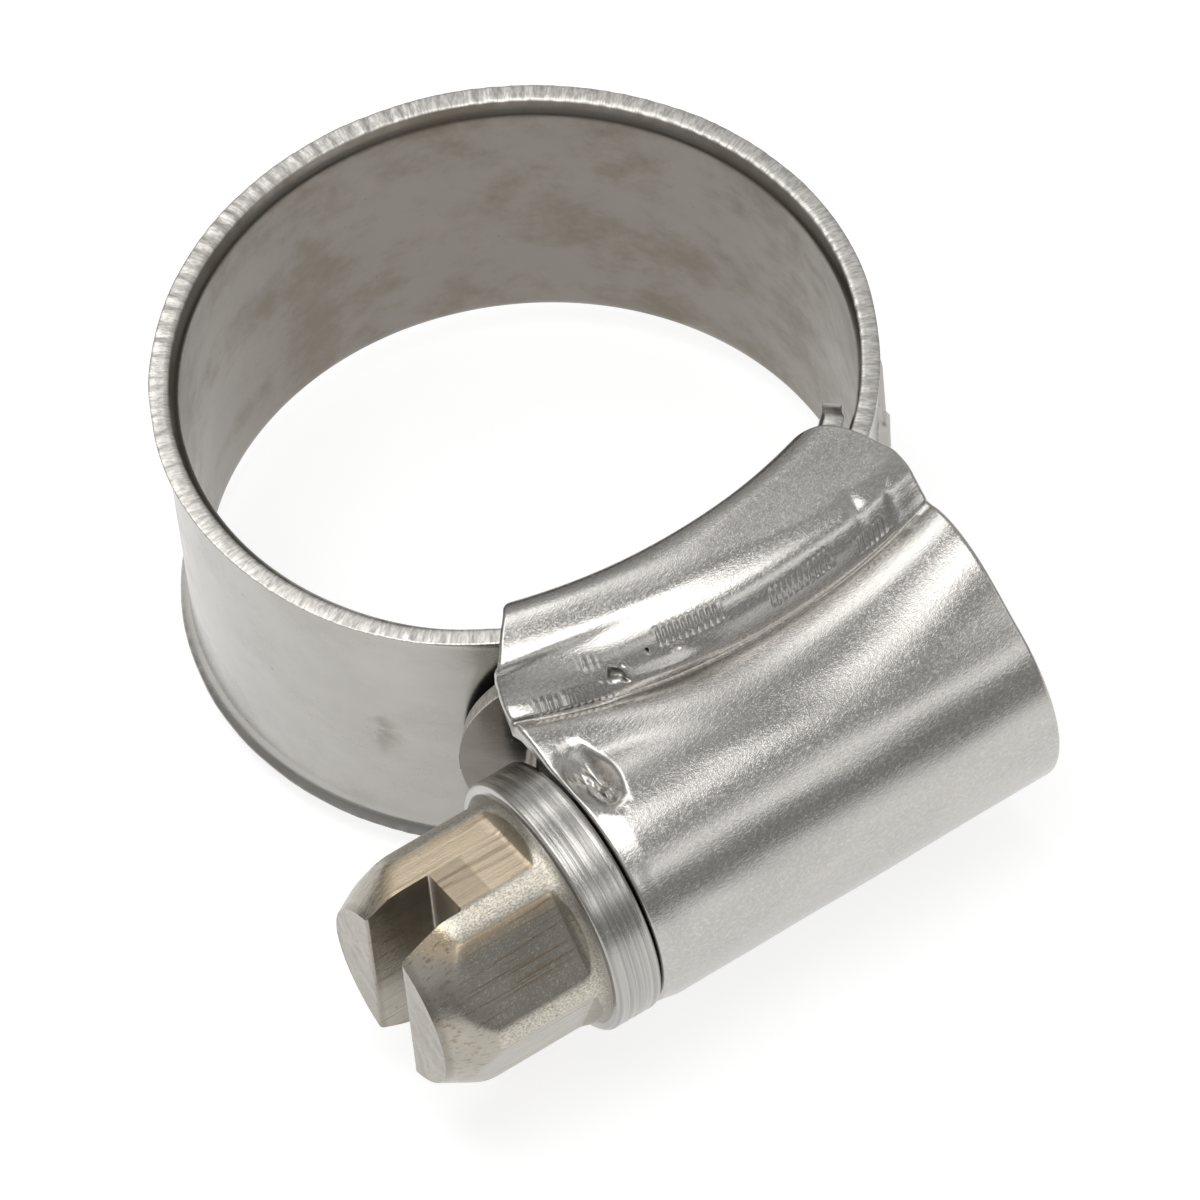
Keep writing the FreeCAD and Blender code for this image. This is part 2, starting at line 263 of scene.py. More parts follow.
class Shader:
    """The nodes of a new material or world."""

    def __init__(self, owner):
        owner.use_nodes = True
        self.owner = owner
        self.tree = owner.node_tree
        self.tree.nodes.clear()

    def add(self, kind, settings, values, output=0):
        """New node: its settings first, a ramp's stops among them, then its sockets' values or links.
        Gives one output, if it has any."""
        node = self.tree.nodes.new(kind)
        for key, value in settings.items():
            if key == "stops":
                set_stops(node.color_ramp, value)
            else:
                setattr(node, key, value)
        for key, value in values.items():
            if isinstance(value, Signal):
                self.tree.links.new(value.socket, node.inputs[key])
            else:
                node.inputs[key].default_value = value
        return Signal(self, node.outputs[output]) if node.outputs else None

    def place(self):
        """Object coordinates, in metres."""
        return self.add("ShaderNodeTexCoord", {}, {}, "Object")

    def attribute(self, name, output="Vector"):
        return self.add("ShaderNodeAttribute", {"attribute_name": name}, {}, output)

    def spread(self, coords, scale, turn=(0, 0, 0), shift=(0, 0, 0)):
        """Coordinates turned and stretched; scale is pattern cells for each unit of length."""
        turned = self.add("ShaderNodeVectorRotate", {"rotation_type": "EULER_XYZ"},
                          {"Vector": coords, "Rotation": [math.radians(a) for a in turn]})
        return self.add("ShaderNodeVectorMath", {"operation": "MULTIPLY_ADD"},
                        {0: turned, 1: scale, 2: shift})

    def split(self, vector):
        """The three numbers of a vector."""
        node = self.add("ShaderNodeSeparateXYZ", {}, {"Vector": vector}).socket.node
        return [Signal(self, output) for output in node.outputs]

    def noise(self, coords, detail=2.0, roughness=0.5):
        return self.add("ShaderNodeTexNoise", {"noise_dimensions": "3D"},
                        {"Vector": coords, "Scale": 1.0, "Detail": detail, "Roughness": roughness})

    def blend(self, factor, a, b):
        """Colour a where factor is 0, colour b where it is 1."""
        return self.add("ShaderNodeMix", {"data_type": "RGBA"}, {0: factor, 6: a, 7: b}, 2)

    def scratches(self, coords, turns, length, width, low=0.62, high=0.72):
        """Short straight marks in several directions: the bright tops of noise stretched along each."""
        cells = (1 / length, 1 / width, 1 / width)
        layers = [self.noise(self.spread(coords, cells, turn, (7.3 * i, 3.1 * i, 0)), 1.0).rise(low, high)
                  for i, turn in enumerate(turns)]
        return sum(layers[1:], layers[0])

    def bump(self, height, strength, distance, normal=None):
        values = {"Height": height, "Strength": strength, "Distance": distance * MM}
        if normal is not None:
            values["Normal"] = normal
        return self.add("ShaderNodeBump", {}, values)

    def metal(self, colour, roughness, normal):
        """Metal surface with its colour, roughness and normal, joined to the output."""
        surface = self.add("ShaderNodeBsdfPrincipled", {}, {
            "Base Color": colour, "Metallic": 1.0, "Roughness": roughness, "Normal": normal})
        self.add("ShaderNodeOutputMaterial", {}, {"Surface": surface})
        return self.owner


def set_stops(ramp, stops):
    """Grey levels of a colour ramp, as (position, level)."""
    while len(ramp.elements) < len(stops):
        ramp.elements.new(0.5)
    for element, (where, level) in zip(ramp.elements, stops):
        element.position = where
        element.color = (level, level, level, 1)


def rgba(colour, factor=1.0):
    return tuple(c * factor for c in colour) + (1.0,)


PER_MM = 1 / MM
SCRATCH_TURNS = [(20, 35, 15), (70, -40, 60), (-30, 65, 110), (10, 10, 160), (55, -70, -35)]


def housing_finish(colour):
    """Pressed stainless sheet: satin, with fine scratches every way, soft clouds, dirt and painted shade in
    the marks and round the dimple, and scratches and scuffs lightened partly as painted sparkle.
    """
    shader = Shader(bpy.data.materials.new("housing_steel"))
    coords = shader.spread(shader.place(), (PER_MM,) * 3)
    clouds = shader.noise(shader.spread(coords, (0.25, 0.6, 0.6)), 3.0)
    mottle_and_painted_light = shader.noise(shader.spread(coords, (6.0, 12.0, 12.0)), 3.0, 0.8)
    fine = shader.scratches(coords, SCRATCH_TURNS, 0.45, 0.05, 0.60, 0.72)
    specks = shader.noise(shader.spread(coords, (5.0, 5.0, 5.0), shift=(4.0, 1.0, 2.0)), 2.0).rise(0.70, 0.78)
    grime = shader.attribute("grime", "Fac")
    tint = shader.blend(clouds.rise(0.35, 0.7), rgba(colour, 0.9), rgba(colour))
    # lighter on the scuffs and scratches: partly their own wear, partly painted sparkle
    tint = shader.blend(mottle_and_painted_light.rise(0.45, 0.65) * 0.4, tint, rgba(colour, 1.3))
    tint = shader.blend(fine * 0.15, tint, rgba(colour, 1.5))
    tint = shader.blend(specks * 0.25, tint, rgba((0.30, 0.26, 0.21)))
    # dirt and painted shade: darker in the tool marks, the pits, the notch, round the dimple and on the inner
    # face
    tint = shader.blend(grime * (0.4 + 0.6 * mottle_and_painted_light.rise(0.35, 0.6)), tint, rgba((0.08, 0.07, 0.055)))
    roughness = 0.15 + 0.05 * clouds + 0.06 * mottle_and_painted_light.rise(0.4, 0.7) + 0.25 * grime
    normal = shader.bump(mottle_and_painted_light, 0.55, 0.010)
    normal = shader.bump(fine, 0.25, 0.004, normal)
    return shader.metal(tint, roughness, normal)


def band_finish(colour, inner_colour, tip, mottle_and_painted_light):
    """Rolled stainless strip: faint lines along it, brown and olive stains inside, a sheared bright rim, and
    painted shade near the tip and where the strip leaves the housing.
    """
    shader = Shader(bpy.data.materials.new("band_steel"))
    strip = shader.attribute("strip")
    along, across, depth = shader.split(strip)
    rim = shader.attribute("rim", "Fac")
    inside = depth.rise(0.3, -0.3)
    lines = shader.noise(shader.spread(strip, (0.25, 9.0, 0.0)), 3.0)
    clouds = shader.noise(shader.spread(strip, (0.35, 0.45, 0.5)), 4.0, 0.6)
    stains = shader.noise(shader.spread(strip, (0.22, 0.28, 2.0), shift=(9.0, 2.0, 5.0)), 5.0, 0.7)
    stains = stains.rise(0.42, 0.66)
    spots = shader.noise(shader.spread(strip, (2.2, 2.2, 2.0), shift=(3.0, 8.0, 1.0)), 2.0).rise(0.72, 0.78)
    fine = shader.scratches(strip, [(0, 0, 20), (0, 0, 95), (0, 0, 150)], 0.8, 0.06, 0.66, 0.74)
    hatch = shader.noise(shader.spread(strip, (13.0, 1.2, 1.0)), 3.0, 0.65)
    tint = shader.blend(inside, rgba(colour), rgba(inner_colour))
    tint = shader.blend(clouds.rise(0.3, 0.7) * 0.15, tint, rgba((0.2, 0.19, 0.17)))
    tint = shader.blend(stains * (0.05 + 0.50 * inside), tint, rgba((0.15, 0.125, 0.085)))
    tint = shader.blend(spots * 0.35, tint, rgba((0.12, 0.10, 0.08)))
    # painted shade: darker over the last few millimetres to the tail's tip, and in a patch blotched by the
    # stains where the strip leaves the housing
    to_tip = abs(along - tip)
    shade = to_tip.rise(5.0, 2.5) * (0.45 + 0.4 * clouds)
    patch = (abs(along - mottle_and_painted_light[0]) + 0.7 * abs(across - mottle_and_painted_light[1])).rise(1.1, 0.2)
    shade = shade + patch * stains.rise(0.2, 0.8) * 0.4
    tint = shader.blend(shade, tint, rgba((0.13, 0.115, 0.09)))
    rim_tint = shader.blend(hatch.rise(0.36, 0.62), rgba(colour, 1.0), rgba(colour, 1.5))
    tint = shader.blend(rim, tint, rim_tint)
    roughness = 0.15 + 0.08 * clouds + 0.06 * lines + 0.08 * stains + 0.10 * rim + 0.08 * inside
    height = 0.5 * lines + 0.3 * fine + (0.4 * hatch) * rim
    return shader.metal(tint, roughness, shader.bump(height, 0.3, 0.010))


def screw_finish(colour):
    """Plated, turned steel: streaks along the hexagon, rings on the collar, rough corners, rust specks."""
    shader = Shader(bpy.data.materials.new("screw_steel"))
    coords = shader.spread(shader.place(), (PER_MM,) * 3, shift=(0.0, -SCREW_Y, 0.0))
    x, y, z = shader.split(coords)
    radius = shader.add("ShaderNodeVectorMath", {"operation": "LENGTH"},
                        {0: shader.spread(coords, (0.0, 1.0, 1.0))}, "Value")
    head = x.rise(COLLAR[0] - 0.02, COLLAR[0] - 0.12)
    corner = head * radius.rise(3.78, 3.84)
    streaks = shader.noise(shader.spread(coords, (0.22, 7.0, 7.0)), 4.0, 0.6)
    rings = shader.noise(shader.spread(coords, (11.0, 0.06, 0.06)), 4.0, 0.75)
    clouds = shader.noise(shader.spread(coords, (0.5, 0.5, 0.5)), 3.0)
    grit = shader.noise(shader.spread(coords, (13.0, 22.0, 22.0)), 3.0, 0.7)
    rust = shader.noise(shader.spread(coords, (6.0,) * 3, shift=(2.0, 5.0, 1.0)), 2.0).rise(0.71, 0.76)
    fine = shader.scratches(coords, SCRATCH_TURNS[:3], 0.5, 0.05)
    tint = shader.blend(clouds.rise(0.35, 0.65), rgba(colour, 0.86), rgba(colour))
    collar_tint = shader.blend(rings.rise(0.3, 0.7), rgba((0.31, 0.30, 0.285)), rgba((0.52, 0.505, 0.475)))
    tint = shader.blend(1 - head, tint, collar_tint)
    runout = head * x.rise(COLLAR[0] - 0.57, COLLAR[0] - 0.52) * (1 - corner)
    end = x.rise(HEAD_END + 0.3, HEAD_END + 0.1)
    end_tint = shader.blend(clouds.rise(0.4, 0.6), rgba(colour, 0.66), rgba(colour, 0.78))
    tint = shader.blend(end, tint, end_tint)
    # lighter, warmer tan on the head's upper flats
    upper_flats_tan = head * z.rise(2.9, 3.3) * (1 - corner) * (1 - end)
    tint = shader.blend(upper_flats_tan * 0.85, tint, rgba((0.60, 0.49, 0.35)))
    tint = shader.blend(runout * 0.6, tint, rgba((0.21, 0.20, 0.15)))
    tint = shader.blend(head * streaks.rise(0.52, 0.68) * 0.75, tint, rgba((0.27, 0.21, 0.14)))
    sparkle = shader.blend(grit.rise(0.4, 0.6), rgba(colour, 0.8), rgba(colour, 1.5))
    tint = shader.blend(corner, tint, sparkle)
    tint = shader.blend(head * rust * 0.8, tint, rgba((0.16, 0.08, 0.04)))
    # dirt and painted shade: darker deep in the slot, on the neck behind the collar and where the head meets
    # the collar
    tint = shader.blend(shader.attribute("grime", "Fac"), tint, rgba((0.12, 0.10, 0.08)))
    roughness = 0.16 + 0.08 * clouds + 0.12 * corner + 0.08 * streaks
    height = head * streaks * 0.8 + corner * grit * 2.0 + (1 - head) * rings * 2.2 + 0.3 * fine
    return shader.metal(tint, roughness, shader.bump(height, 0.4, 0.014))


# --- band ------------------------------------------------------------------

def circle_through(a, b, c):
    """Centre and radius of the circle through three points in the plane."""
    rows = 2 * np.array([b - a, c - a])
    right = np.array([b @ b - a @ a, c @ c - a @ a])
    centre = np.linalg.solve(rows, right)
    return centre, np.linalg.norm(a - centre)


def angle_of(point, centre):
    d = point - centre
    return math.degrees(math.atan2(d[1], d[0]))


class BandPath:
    """The middle of the strip as arcs that run clockwise, from its end in the saddle to its free tip."""

    def __init__(self, strip):
        hinges = [place(f"bend_{k:02d}")[:2] for k in range(1, LINKS + 1)]
        meet = LINKS // 2 - 1
        left, left_inner = circle_through(hinges[0], hinges[meet // 2], hinges[meet])
        right, right_inner = circle_through(hinges[meet], hinges[(meet + LINKS) // 2], hinges[-1])
        arcs = [
            (TAIL_CENTRE, INNER_RADIUS, FREE_END_ANGLE, EXIT_ANGLE),
            (left, left_inner + strip / 2, EXIT_ANGLE + EXIT_BEND, angle_of(hinges[meet], left) - 360),
            (right, right_inner + strip / 2, angle_of(hinges[meet], right), angle_of(hinges[-1], right)),
            (TAIL_CENTRE, RING_RADIUS, angle_of(hinges[-1], TAIL_CENTRE), TIP_ANGLE),
        ]
        self.centres = np.array([arc[0] for arc in arcs])
        self.radii = np.array([arc[1] for arc in arcs])
        self.starts = np.radians([arc[2] for arc in arcs])
        lengths = self.radii * (self.starts - np.radians([arc[3] for arc in arcs]))
        self.joins = np.concatenate([[0], np.cumsum(lengths)])
        self.length = self.joins[-1]
        left_steps = self.joins[1] + self.radii[1] * np.radians(
            [self.clockwise(EXIT_ANGLE + EXIT_BEND, angle_of(h, left)) for h in hinges[:meet + 1]])
        right_steps = self.joins[2] + self.radii[2] * np.radians(
            [self.clockwise(arcs[2][2], angle_of(h, right)) for h in hinges[meet + 1:]])
        self.hinges = np.concatenate([left_steps, right_steps])

    @staticmethod
    def clockwise(start, end):
        return (start - end) % 360

    def raw(self, s):
        i = np.clip(np.searchsorted(self.joins, s, side="right") - 1, 0, len(self.radii) - 1)
        angle = self.starts[i] - (s - self.joins[i]) / self.radii[i]
        out = np.stack([np.cos(angle), np.sin(angle)], axis=-1)
        return self.centres[i] + self.radii[i][..., None] * out, out

    def at(self, s):
        """Point and outward direction at distance s, averaged over a short window to smooth the bends."""
        window = np.linspace(-0.7, 0.7, 9)
        point, out = self.raw(np.asarray(s, float)[..., None] + window)
        out = out.mean(-2)
        return point.mean(-2), out / np.linalg.norm(out, axis=-1, keepdims=True)


ROUND_STEPS = 9          # points round each edge of the strip
TIP_LEAST = 0.012        # how far the tail's last row stays from the tip


def strip_loop(half_width, rim=0.09, across=56):
    """Closed loop round the strip's section: c is the share of the half width, d is -1 on the inner face and
    1 on the outer. The edges follow |x|^4 + |y|^4 = 1, a box with round corners."""
    flat = 1 - rim / half_width
    spread = np.sin(np.linspace(-1, 1, across) * math.pi / 2) * 0.35 + np.linspace(-1, 1, across) * 0.65
    turn = np.radians(np.linspace(-90, 90, ROUND_STEPS + 2)[1:-1])
    edge_c = flat + (1 - flat) * np.sqrt(np.cos(turn))
    edge_d = np.sign(np.sin(turn)) * np.sqrt(np.abs(np.sin(turn)))
    c = np.concatenate([spread * flat, edge_c, spread[::-1] * flat, -edge_c])
    d = np.concatenate([-np.ones(across), edge_d, np.ones(across), -edge_d])
    rim_mask = np.concatenate([np.zeros(across), np.ones(ROUND_STEPS)] * 2)
    return c, d, rim_mask


def strip_points(locate, s, band, half_width, flare, ridges=None):
    """Points of the strip: from its middle line, outwards by the flare and by half the thickness times d, and
    across by c times the half width. The flare is soft * log(1 + exp(z past the bend / soft)):
    flat, then a short bend, then a 45 degree lip."""
    c, d, rim = strip_loop(band.half_width / MM)
    middle, out = locate(s)
    z = c[None, :] * half_width[:, None]
    soft = 0.07
    lift = flare[:, None] / 0.37 * soft * np.log1p(np.exp((np.abs(z) - band.half_width / MM + 0.37) / soft))
    lift = lift + d * (band.strip / MM / 2) * (1 + 0.03 * grain(s[:, None], z, 5, 2.5) * rim)
    z = z + np.sign(c) * rim * 0.006 * (grain(s, 0 * s, 8, 0.4)[:, None] - 1)
    if ridges is not None:
        lift = lift + (d > 0.99) * ridges(s[:, None], z)
    points = np.empty(z.shape + (3,))
    points[..., :2] = middle[:, None, :] + out[:, None, :] * lift[..., None]
    points[..., 2] = z
    coordinates = np.stack([np.broadcast_to(s[:, None], z.shape), z, np.broadcast_to(d, z.shape)], axis=-1)
    return points, coordinates, np.broadcast_to(rim, z.shape)


def facing(points, faces, directions):
    """The faces' corner directions, turned round where the faces look the other way."""
    corner = points[faces]
    out = np.cross(corner[:, 1] - corner[:, 0], corner[:, -1] - corner[:, 0])
    return directions * np.sign(np.sum(out * directions[:, 0]))


def strip_piece(name, surface, s, material):
    """Closed piece of the strip over the distances s. Its corner normals are the whole surface's own, so the
    next piece meets it without a seam. surface(s) gives points, coordinates and rim."""
    points, coordinates, rim = surface(s)
    step = 0.04
    along = surface(s + step)[0] - surface(s - step)[0]
    around = np.roll(points, -1, axis=1) - np.roll(points, 1, axis=1)
    normal = np.cross(along, around)
    normal /= np.linalg.norm(normal, axis=-1, keepdims=True) + 1e-12
    rows, columns = rim.shape
    index = np.arange(rows * columns).reshape(rows, columns)
    faces = [grid_faces(index, wrap=True)]
    normals = [normal.reshape(-1, 3)[faces[0]]]
    # each end is closed by quads between the inner and the outer face, with a triangle at each edge
    order = np.roll(np.arange(columns), ROUND_STEPS // 2 + 1)
    inner = index[:, order[:columns // 2 + 1]]
    outer = index[:, np.roll(order, -1)[columns // 2 - 1:][::-1]]
    for row, sign in ((0, 1), (-1, -1)):
        i, o = inner[row], outer[row]
        middle = np.stack([i[1:-2], i[2:-1], o[2:-1], o[1:-2]], axis=-1)
        edges = np.array([[i[0], i[1], o[1]], [i[-2], i[-1], o[-2]]])
        before, after = surface(s[row] + np.array([-step, step]))[0].mean(1)
        direction = sign * (after - before)
        direction /= np.linalg.norm(direction)
        for part in (middle, edges):
            faces.append(part[:, ::sign])
            normals.append(np.broadcast_to(direction, part.shape + (3,)))
    flat = points.reshape(-1, 3)
    normals = [facing(flat, part, directions) for part, directions in zip(faces, normals)]
    return make_piece(name, points, faces, material, [("strip", coordinates), ("rim", rim)], normals)


def thread_ridges(path, band):
    """Height of the thread on the tail's outer face: slanting ridges with soft flanks, faded at both ends."""
    start = path.joins[3]
    first = math.degrees(path.starts[3])
    places = start + path.radii[3] * np.radians(first - RIDGE_ANGLES)

    def height(s, z):
        nearest = np.abs((s + RIDGE_SLOPE * z)[..., None] - places).min(-1)
        return band.ridge / MM * smooth(nearest, 0.54, 0.24) * smooth(np.abs(z), 2.5, 2.1)
    return height


def build_band(band):
    """All stretches of the band: one for each hinge of the loop, and the fixed tongue."""
    half = band.half_width / MM
    flare = band.flare / MM
    path = BandPath(band.strip / MM)
    # the last argument places the patch of painted shade just past the housing's exit
    material = band_finish(band.colour, band.inner_colour, path.length, (path.hinges[0] + 2.6, -0.4))
    ridges = thread_ridges(path, band)
    joins = (path.hinges[:-1] + path.hinges[1:]) / 2
    last = path.hinges[-1] + (path.hinges[-1] - path.hinges[-2]) / 2
    joins = np.concatenate([[(path.joins[1] + path.hinges[0]) / 2], joins, [last]])

    def edge_flare(s):
        """The edges stand out less on the free inner end and on the tail, which runs inside the housing."""
        tail = path.joins[3]
        return flare * mix(1.0, 0.50, np.maximum(smooth(s, tail + 3.0, tail + 10.0), smooth(s, 8, 4)))

    def surface(s):
        """Full width as far as the tip, whose half circle narrows it."""
        left = np.clip(path.length - s, TIP_LEAST, half)
        return strip_points(path.at, s, band, np.sqrt(half**2 - (half - left)**2), edge_flare(s), ridges)

    for k in range(1, LINKS + 1):
        start, end = (0.0 if k == 1 else joins[k - 1]), joins[k]
        name, next_body = f"band_stretch_{k:02d}", f"link_{k + 1:02d}"
        nodes = [f"band_link_{k:02d}"]
        rows = int((end - start) / band.row_step * MM) + 2
        s = np.linspace(start, end, rows)
        if k == LINKS:
            name, next_body = "band_threaded_tail", "threaded_end"
            nodes.append("band_threaded_end")
            turn = np.linspace(0, math.pi / 2, 70)[1:]
            rows = int((path.length - half - start) / 0.07) + 2
            s = np.concatenate([np.linspace(start, path.length - half, rows),
                                path.length - half * (1 - np.sin(turn)) - TIP_LEAST * (turn > 1.57)])
        piece = strip_piece(name, surface, s, material)
        near, far = (path.at(mix(joins[k - 1], joins[k], share))[0] * MM for share in (0.06, 0.94))
        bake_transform(piece)
        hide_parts(*nodes)

    def tongue_path(s):
        angle = math.radians(TONGUE_ANGLES[0]) + s / INNER_RADIUS
        out = np.stack([np.cos(angle), np.sin(angle)], axis=-1)
        return TAIL_CENTRE + INNER_RADIUS * out, out

    length = INNER_RADIUS * math.radians(TONGUE_ANGLES[1] - TONGUE_ANGLES[0])

    def tongue_surface(s):
        width = half - 0.12 - 0.35 * smooth(s, length - 0.8, length)
        return strip_points(tongue_path, s, band, width, np.full(len(s), flare))

    tongue = strip_piece("band_tongue_end", tongue_surface, np.linspace(0, length, 90), material)
    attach(tongue, "root")
    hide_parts("band_tongue")


# --- housing ---------------------------------------------------------------

# Half section of the sheet's outer face, from the tab inside the ring to the crease above the barrel.
# Each row is one line along the housing: its (y, z) at the left end, at mid length and at the right end.
SADDLE_LINES = np.array([
    [(-6.79, 1.40), (-8.43, 1.40), (-6.79, 1.40)],     # tab's edge
    [(-6.79, 3.30), (-8.43, 3.30), (-6.79, 3.30)],
    [(-6.80, 4.75), (-8.43, 4.90), (-6.80, 4.90)],     # where the fold starts
    [(-7.05, 5.40), (-8.66, 5.66), (-7.10, 5.70)],
    [(-7.90, 5.75), (-9.30, 6.00), (-8.00, 6.02)],     # top of the fold
    [(-9.40, 5.55), (-10.35, 6.01), (-9.90, 6.02)],    # ridge
    [(-9.74, 5.15), (-10.98, 5.88), (-10.55, 6.00)],
    [(-10.02, 4.82), (-11.60, 5.62), (-11.05, 5.88)],  # shoulder
    [(-10.30, 4.56), (-12.03, 5.16), (-11.40, 5.62)],
    [(-10.60, 4.40), (-12.30, 4.64), (-11.70, 5.36)],  # ledge
    [(-10.90, 4.28), (-12.50, 4.15), (-11.98, 5.14)],  # crease
])
LEFT_EDGE = [-4.26, -4.26, -4.6, -5.55, -6.05, -6.95, -7.28, -7.38, -7.43, -7.46, -7.47]
RIGHT_EDGE = [4.26, 4.26, 4.6, 5.45, 6.30, 7.15, 7.28, 7.30, 7.30, 7.30, 7.30]


def saddle_rows(fine):
    """Where the rows lie along the saddle's lines, closer together at the fold, the ridge and the crease."""
    if fine:
        return steps((0, 2, 8), (2, 4, 14), (4, 5, 8), (5, 8, 26), (8, 10, 26))
    return steps((0, 2, 5), (2, 4, 10), (4, 5, 5), (5, 8, 12), (8, 10, 10))


def half_sheet(u, fine):
    """Half of the outer face as rows of points, from the tab inside the ring to the barrel's lowest line, and
    the number of the crease's row. u goes from -1 at the left edge to 1 at the right. The saddle is a curve
    through its lines, each a parabola along x; the barrel is an arc whose radius eases from the crease's."""
    at = saddle_rows(fine)
    share = steps((0, 0.18, 8), (0.18, 1, 30 if fine else 18))[1:, None]
    low, high = (np.append(curve_through(edge, at), np.full(len(share), edge[-1]))[:, None]
                 for edge in (LEFT_EDGE, RIGHT_EDGE))
    x = mix(low, high, (u + 1) / 2)
    t = x[..., None] / HOUSING_HALF
    left, middle, right = (SADDLE_LINES[:, i] for i in range(3))
    terms = np.stack([middle, (right - left) / 2, (left + right) / 2 - middle], axis=1)
    terms = curve_through(terms, at)[:, :, None]
    terms = np.concatenate([terms, np.repeat(terms[-1:], len(share), axis=0)])
    section = terms[:, 0] + terms[:, 1] * t + terms[:, 2] * t**2

    crease = section[len(at):]
    x_barrel = x[len(at):]
    offset_y = crease[..., 0] - SCREW_Y
    crease_angle = np.arctan2(-offset_y, crease[..., 1])
    angle = mix(crease_angle, math.pi / 2, share)
    excess = 1 - smooth(angle - crease_angle, 0.0, mix(0.40, 1.0, smooth(x_barrel, -7.0, 7.0)))
    pinch = 0.10 * smooth(x_barrel, -6.6, -7.4) * smooth(angle, -0.2, 0.4)
    radius = mix(BARREL_RADIUS, np.hypot(offset_y, crease[..., 1]), excess) - pinch
    section[len(at):] = np.stack([SCREW_Y - radius * np.sin(angle), radius * np.cos(angle)], axis=-1)
    return np.concatenate([x[..., None], section], axis=-1), len(at) - 1


# Rows of ticks left by the press tool: x from and to, and distance from the crease from and to.
TICKS = [(-6.7, -5.9, -0.55, -0.05), (-5.7, -4.2, -0.6, -0.05), (-4.9, -4.3, -1.5, -1.1),
         (-2.5, -0.3, -1.7, -1.15), (1.2, 3.6, -1.25, -0.65), (4.4, 5.8, -0.8, -0.3)]
TICK_PITCH = 0.21


def hump(x, y, centre, size, power=1):
    """exp(-r^2) over an oval, r = 1 at its size from its centre; a higher power makes its top flatter."""
    return np.exp(-(((x - centre[0]) / size[0])**2 + ((y - centre[1]) / size[1])**2)**power)


def tool_marks(x, s, tick_depth):
    """Depth of what the press left above the crease, and its dirt with painted shade, darkest in the pits and
    the notch: rows of cosine ticks, two pits, the notch along the crease, two dents, and the outward bulge
    between them. s is the distance from the crease."""
    ticks = np.zeros_like(x)
    for x0, x1, far, near in TICKS:
        window = smooth(x, x0 - 0.1, x0 + 0.15) * smooth(x, x1 + 0.1, x1 - 0.15)
        ticks += window * smooth(s, far - 0.12, far + 0.1) * smooth(s, near + 0.05, near - 0.1)
    ticks *= 0.5 * (1 - np.cos(math.tau * (x + 0.15 * s) / TICK_PITCH))
    ticks *= mix(0.5, 1.0, smooth(grain(x, 0 * x, 15, 2.0), -1.0, 1.0))
    ragged = 1 + 0.35 * grain(x, s, 41, 0.5)
    pit = hump(x, s, (-4.05, -0.75), (0.26, 0.20), 2) ** ragged**2
    small_pit = hump(x, s, (-2.0, -0.95), (0.16, 0.10))
    notch = np.exp(-(s / 0.09)**2) * mix(0.35, 1.0, smooth(x, -4.2, -5.0))
    dents = hump(x, s, (5.0, -1.5), (0.25, 0.8)) + hump(x, s, (6.2, -0.9), (0.2, 0.6))
    bulge = hump(x, s, (-2.4, -0.42), (1.5, 0.30))
    depth = tick_depth * ticks + 0.22 * pit + 0.08 * small_pit + 0.09 * notch + 0.05 * dents - 0.15 * bulge
    # the second value is dirt and painted shade, darkest in the pits and along the notch
    return depth, 0.9 * pit + 0.5 * small_pit + 0.55 * notch * smooth(x, -4.2, -5.2)


